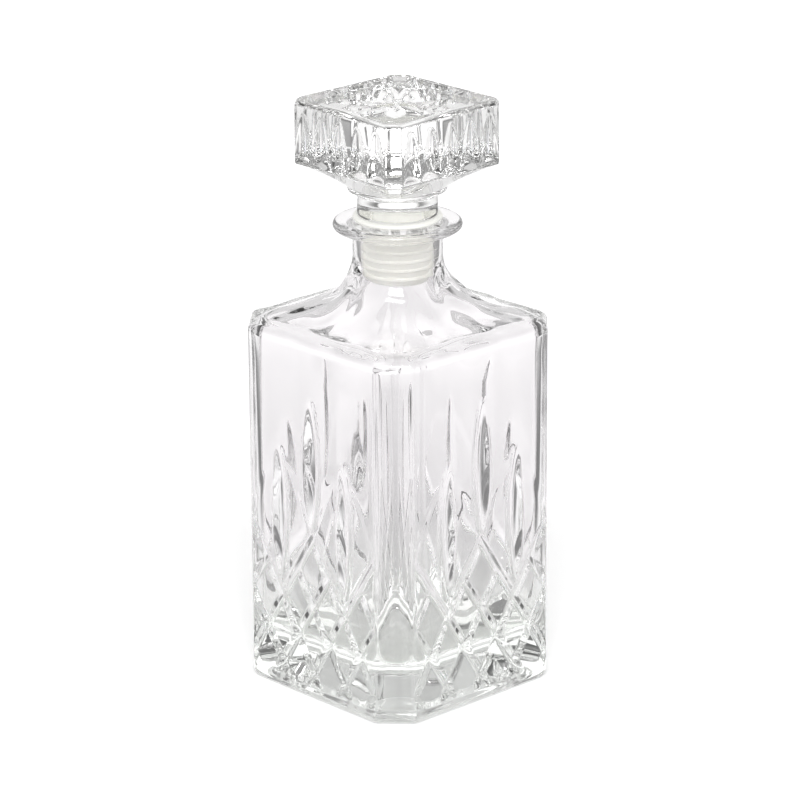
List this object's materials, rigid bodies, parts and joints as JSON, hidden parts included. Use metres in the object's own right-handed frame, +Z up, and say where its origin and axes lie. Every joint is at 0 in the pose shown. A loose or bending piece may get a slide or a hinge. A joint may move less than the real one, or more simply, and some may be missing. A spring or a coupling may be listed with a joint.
{
  "type": "square glass decanter",
  "caption": "Square glass decanter with a diamond-cut base, tall flutes, a round flanged neck and a square fluted glass stopper on a ribbed plastic seal.",
  "frame": {"origin": "centre of the foot, on the surface the decanter stands on", "axes": "+Z up along the neck's axis, with the four cut faces looking along +X, +Y, -X and -Y"},
  "size_m": [0.0952, 0.0952, 0.24],
  "materials": {
    "clear_glass": "clear, fire polished",
    "milky_plastic": "milky, translucent"
  },
  "bodies": {
    "bottle_body": {"bottle": "clear_glass"},
    "seal_body": {"stopper_seal": "milky_plastic"},
    "stopper_body": {"stopper": "clear_glass"}
  },
  "joints": [
    {"name": "stopper_lift", "type": "slide", "parent": "bottle_body", "child": "seal_body", "axis": [0, 0, 1], "range_m": [0, 0.06]},
    {"name": "stopper_twist", "type": "hinge", "parent": "seal_body", "child": "stopper_body", "pos_m": [0, 0, 0.1934], "axis": [0, 0, 1], "continuous": true}
  ]
}
